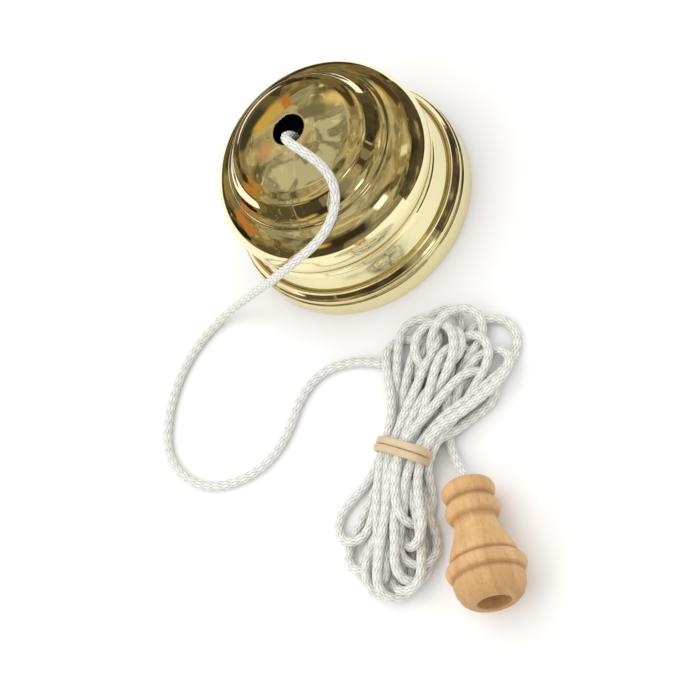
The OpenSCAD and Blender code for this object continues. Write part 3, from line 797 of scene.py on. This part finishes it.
def window(direction, half, softness=0.03):
    """1 inside a rectangular patch of sky round a direction, 0 outside, with a soft edge."""
    d = Vector(direction).normalized()
    side = d.cross(Vector((0, 0, 1))).normalized()
    up = side.cross(d)
    parts = []
    for axis, limit in ((side, half[0]), (up, half[1])):
        dot = world_node("ShaderNodeVectorMath", operation="DOT_PRODUCT")
        tree.links.new(sky, dot.inputs[0])
        dot.inputs[1].default_value = axis
        away = world_math("ABSOLUTE", dot.outputs["Value"])
        parts.append(world_math("MULTIPLY_ADD", away, -1 / softness, limit / softness + 0.5, clamp=True))
    ahead = world_node("ShaderNodeVectorMath", operation="DOT_PRODUCT")
    tree.links.new(sky, ahead.inputs[0])
    ahead.inputs[1].default_value = d
    front = world_math("GREATER_THAN", ahead.outputs["Value"], 0.0)
    return world_math("MULTIPLY", world_math("MULTIPLY", parts[0], parts[1]), front)


def vector_math(kind, a, b=None):
    node = world_node("ShaderNodeVectorMath", operation=kind)
    for socket, value in zip(node.inputs, (a, b)):
        if isinstance(value, tuple):
            socket.default_value = value
        elif value is not None:
            tree.links.new(value, socket)
    return node.outputs[0]


def world_noise(vector, scale, detail, distortion=0.0):
    node = world_node("ShaderNodeTexNoise")
    for name, value in (("Scale", scale), ("Detail", detail), ("Distortion", distortion)):
        node.inputs[name].default_value = value
    tree.links.new(vector, node.inputs["Vector"])
    return node.outputs["Fac"]


sky = world_node("ShaderNodeTexCoord").outputs["Generated"]
split = world_node("ShaderNodeSeparateXYZ")
tree.links.new(sky, split.inputs[0])
# Dark low walls, a pale ceiling, and furniture between them with soft irregular edges
clutter = world_noise(sky, 2.0, 4, 0.8)
level = world_math("ADD", split.outputs[2], world_math("MULTIPLY_ADD", clutter, 2.3, -1.2))
room = world_ramp(level, [
    (0.00, (0.022, 0.015, 0.009)), (0.16, (0.075, 0.05, 0.025)), (0.30, (0.34, 0.25, 0.11)),
    (0.40, (0.10, 0.08, 0.045)),
    (0.55, (0.30, 0.26, 0.16)), (0.72, (0.56, 0.51, 0.36)), (0.86, (0.36, 0.33, 0.23)), (0.98, (0.86, 0.81, 0.65))])
things = world_node("ShaderNodeTexVoronoi", distance="CHEBYCHEV")
things.inputs["Scale"].default_value = 1.7
tree.links.new(vector_math("ADD", sky, (4.3, 1.9, 2.6)), things.inputs["Vector"])
chosen = world_node("ShaderNodeSeparateColor")
tree.links.new(things.outputs["Color"], chosen.inputs[0])
cells = world_ramp(chosen.outputs[0], [
    (0.1, (0.03, 0.022, 0.013)), (0.4, (0.24, 0.21, 0.13)), (0.6, (0.60, 0.44, 0.17)), (0.9, (0.85, 0.79, 0.62))])
room = world_mix(0.34, room, cells)
glints = world_math("MULTIPLY_ADD", world_noise(sky, 5.0, 3, 1.5), 9.0, -5.6, clamp=True)
room = world_mix(world_math("MULTIPLY", glints, 0.75), room, (0.95, 0.80, 0.46))
for direction, half, softness, tint in (
    ((0.0, -0.93, 0.35), (0.34, 0.24), 0.20, (0.045, 0.032, 0.018)),
    ((-0.50, -0.78, 0.36), (0.20, 0.06), 0.12, (0.85, 0.60, 0.20)),
    ((-0.25, -0.45, 0.86), (0.16, 0.06), 0.10, (0.80, 0.58, 0.22)),
    ((-0.62, 0.76, 0.20), (0.20, 0.13), 0.06, (0.060, 0.055, 0.035)),
    ((-0.45, 0.80, 0.42), (0.17, 0.12), 0.07, (0.70, 0.46, 0.13)),
    ((-0.25, 0.88, 0.42), (0.045, 0.13), 0.04, (0.58, 0.23, 0.07)),
    ((0.02, 0.70, 0.72), (0.17, 0.11), 0.05, (0.22, 0.20, 0.13)),
    ((0.30, 0.78, 0.55), (0.15, 0.10), 0.12, (0.85, 0.66, 0.33)),
    ((0.50, 0.83, 0.25), (0.24, 0.13), 0.05, (0.085, 0.055, 0.030)),
    ((0.60, 0.40, 0.68), (0.08, 0.06), 0.03, (0.24, 0.23, 0.17)),
    ((0.88, 0.08, 0.46), (0.07, 0.14), 0.04, (0.95, 0.92, 0.80)),
    ((0.80, -0.35, 0.45), (0.09, 0.10), 0.03, (0.16, 0.15, 0.11)),
    ((0.55, -0.61, 0.57), (0.11, 0.13), 0.06, (1.9, 1.9, 1.8)),
    ((-0.58, 0.45, 0.66), (0.09, 0.09), 0.10, (0.68, 0.36, 0.22)),
    ((-0.90, 0.15, 0.32), (0.17, 0.14), 0.05, (0.60, 0.23, 0.05)),
):
    room = world_mix(window(direction, half, softness), room, tint)
path = world_node("ShaderNodeLightPath")
light = world_mix(path.outputs["Is Glossy Ray"], (1.2, 1.2, 1.2), room)
background = world_node("ShaderNodeBackground")
background.inputs["Strength"].default_value = 0.9
tree.links.new(light, background.inputs["Color"])
output = world_node("ShaderNodeOutputWorld")
tree.links.new(background.outputs[0], output.inputs["Surface"])
